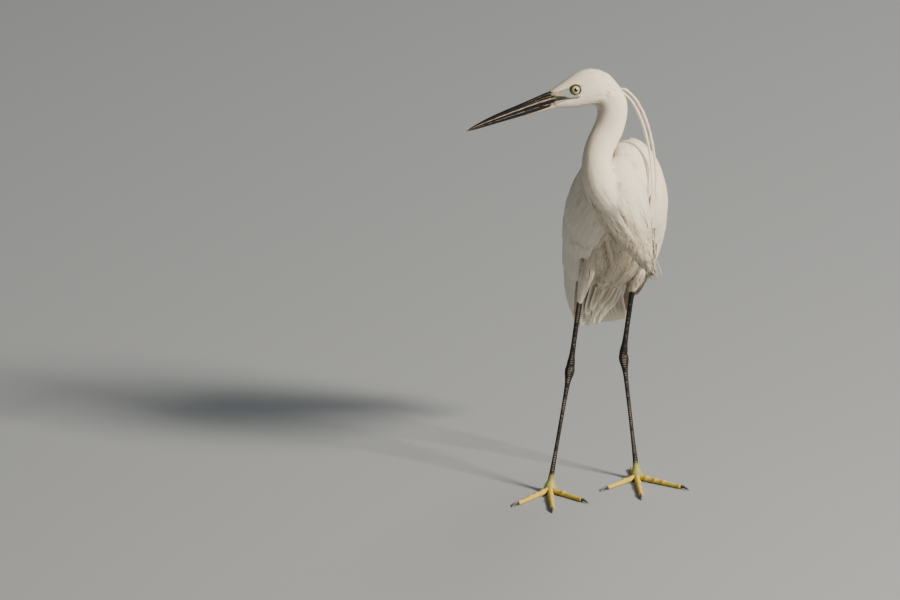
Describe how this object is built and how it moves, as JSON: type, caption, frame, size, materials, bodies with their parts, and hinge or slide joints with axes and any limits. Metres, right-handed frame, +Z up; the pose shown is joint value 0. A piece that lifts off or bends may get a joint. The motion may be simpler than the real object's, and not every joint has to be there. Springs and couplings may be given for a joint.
{
  "type": "little egret figure",
  "caption": "Life-size standing little egret with folded wings, curved neck, head turned to its right, long nape plumes, black legs and yellow feet.",
  "frame": {"origin": "on the floor under the middle of the bounding box", "axes": "+Z up through the standing bird; -Y the way its breast faces; +X the bird's left"},
  "size_m": [0.2057, 0.2513, 0.4158],
  "materials": {
    "white_feathers": "matt, soft, overlapping feathers",
    "bill_horn": "satin dark horn",
    "eye": "wet gloss",
    "black_scales": "fine scales, satin",
    "yellow_scales": "fine scales, satin",
    "claw_horn": "satin dark horn"
  },
  "bodies": {
    "root": {"torso": "white_feathers", "breast": "white_feathers", "neck_lower": "white_feathers", "neck_upper": "white_feathers", "head": "white_feathers", "bill_upper": "bill_horn", "bill_lower": "bill_horn", "eye_l": "eye", "eye_r": "eye", "crest_plume_1": "white_feathers", "crest_plume_2": "white_feathers", "wing_l": "white_feathers", "wing_r": "white_feathers", "tail": "white_feathers", "back_plumes": "white_feathers", "thigh_l": "white_feathers", "shank_l": "black_scales", "tarsus_l": "black_scales", "palm_l": "yellow_scales", "toe_inner_l": "yellow_scales", "toe_middle_l": "yellow_scales", "toe_outer_l": "yellow_scales", "toe_hind_l": "yellow_scales", "claw_inner_l": "claw_horn", "claw_middle_l": "claw_horn", "claw_outer_l": "claw_horn", "claw_hind_l": "claw_horn", "thigh_r": "white_feathers", "shank_r": "black_scales", "tarsus_r": "black_scales", "palm_r": "yellow_scales", "toe_inner_r": "yellow_scales", "toe_middle_r": "yellow_scales", "toe_outer_r": "yellow_scales", "toe_hind_r": "yellow_scales", "claw_inner_r": "claw_horn", "claw_middle_r": "claw_horn", "claw_outer_r": "claw_horn", "claw_hind_r": "claw_horn"}
  },
  "joints": []
}
